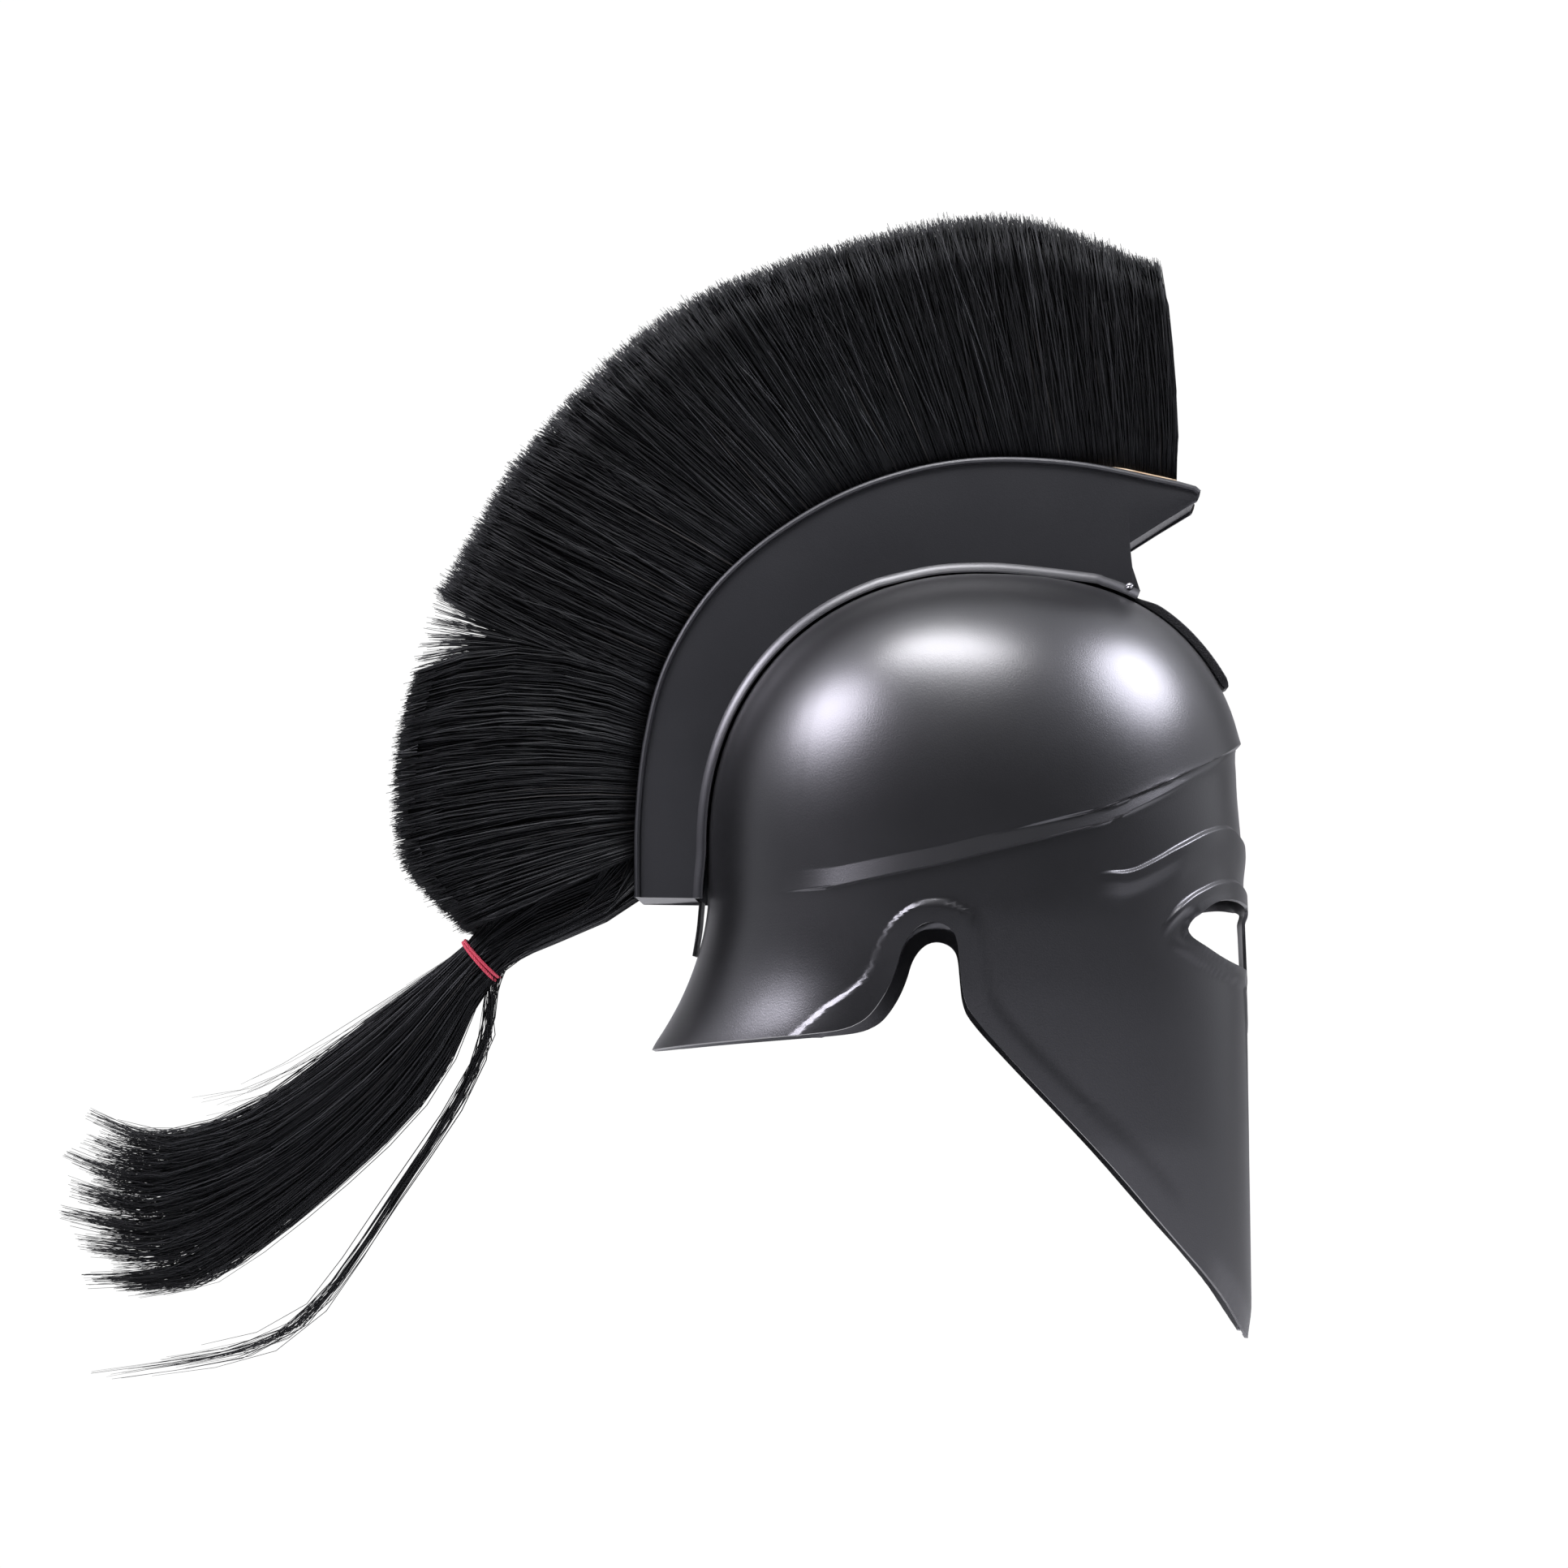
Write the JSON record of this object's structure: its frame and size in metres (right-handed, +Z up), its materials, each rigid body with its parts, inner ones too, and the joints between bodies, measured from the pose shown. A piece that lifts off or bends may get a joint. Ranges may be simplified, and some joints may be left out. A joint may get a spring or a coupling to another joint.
{
  "type": "corinthian helmet",
  "caption": "Corinthian helmet with nasal, almond eyes and long cheek pieces, a flared neck guard, and a curved crest box carrying a fanned hair plume with a tied tail.",
  "frame": {"origin": "inner crown of the helmet, the point that rests on the top of the wearer's head", "axes": "+X the way the face looks, +Y to the wearer's left, +Z up"},
  "size_m": [0.5212, 0.1872, 0.5031],
  "materials": {
    "black_steel": "satin black paint with a fine grain",
    "screw_steel": "bright",
    "wood": "plain, unfinished",
    "hair": "black horsehair, slightly glossy",
    "red_elastic": "matt"
  },
  "bodies": {
    "root": {"helmet_shell": "black_steel", "crest_box": "black_steel", "crest_front_strap": "black_steel", "crest_rear_strap": "black_steel", "crest_rivet_left": "screw_steel", "crest_rivet_right": "screw_steel", "plume_base": "wood", "plume_bundle_1": "hair", "plume_bundle_2": "hair", "plume_bundle_3": "hair", "plume_bundle_4": "hair", "plume_bundle_5": "hair", "plume_bundle_6": "hair", "plume_bundle_7": "hair", "plume_bundle_8": "hair", "plume_tail": "hair", "tie_band": "red_elastic"}
  },
  "joints": []
}
